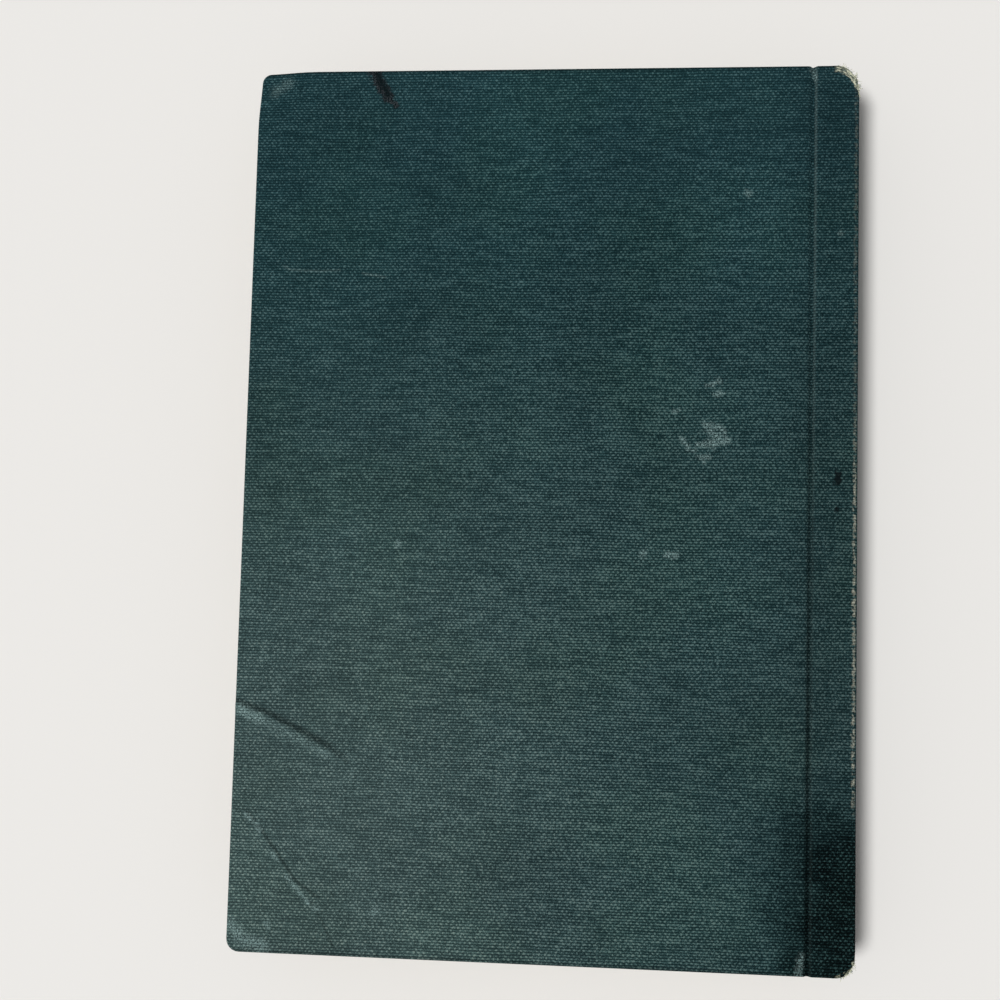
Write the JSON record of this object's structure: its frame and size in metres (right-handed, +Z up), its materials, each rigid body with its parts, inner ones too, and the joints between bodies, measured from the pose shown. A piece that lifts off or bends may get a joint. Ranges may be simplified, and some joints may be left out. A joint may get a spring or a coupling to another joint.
{
  "type": "hardback book",
  "caption": "Closed hardback book with cloth-covered boards, a flat back, a pressed groove along each joint, a sewn page block, end papers and hinged front and back covers.",
  "frame": {"origin": "middle of the underside of the closed book, which lies on its front cover", "axes": "+X towards the back (spine), +Y towards the head, +Z up through the back cover"},
  "size_m": [0.13, 0.19, 0.02],
  "materials": {
    "book_cloth": "matte",
    "greyboard": "matte",
    "pages": "matte",
    "end_paper": "matte",
    "mull": "matte",
    "thread": "matte",
    "lining_paper": "matte",
    "spine_card": "matte"
  },
  "bodies": {
    "book_block": {"text_block": "pages", "sewing_thread": "thread", "mull": "mull", "spine_lining": "lining_paper", "spine_inlay": "spine_card", "spine_cloth": "book_cloth", "front_flyleaf": "end_paper", "back_flyleaf": "end_paper"},
    "front_cover": {"front_board": "greyboard", "front_board_cloth": "book_cloth", "front_mull_flange": "mull", "front_pastedown": "end_paper"},
    "back_cover": {"back_board": "greyboard", "back_board_cloth": "book_cloth", "back_mull_flange": "mull", "back_pastedown": "end_paper"}
  },
  "joints": [
    {"name": "back_cover_hinge", "type": "hinge", "parent": "book_block", "child": "back_cover", "pos_m": [0.05535, 0, 0.02015], "axis": [0, 1, 0], "range_deg": [0, 178]},
    {"name": "front_cover_hinge", "type": "hinge", "parent": "book_block", "child": "front_cover", "pos_m": [0.05535, 0, -0.00015], "axis": [0, -1, 0], "range_deg": [0, 178]}
  ]
}
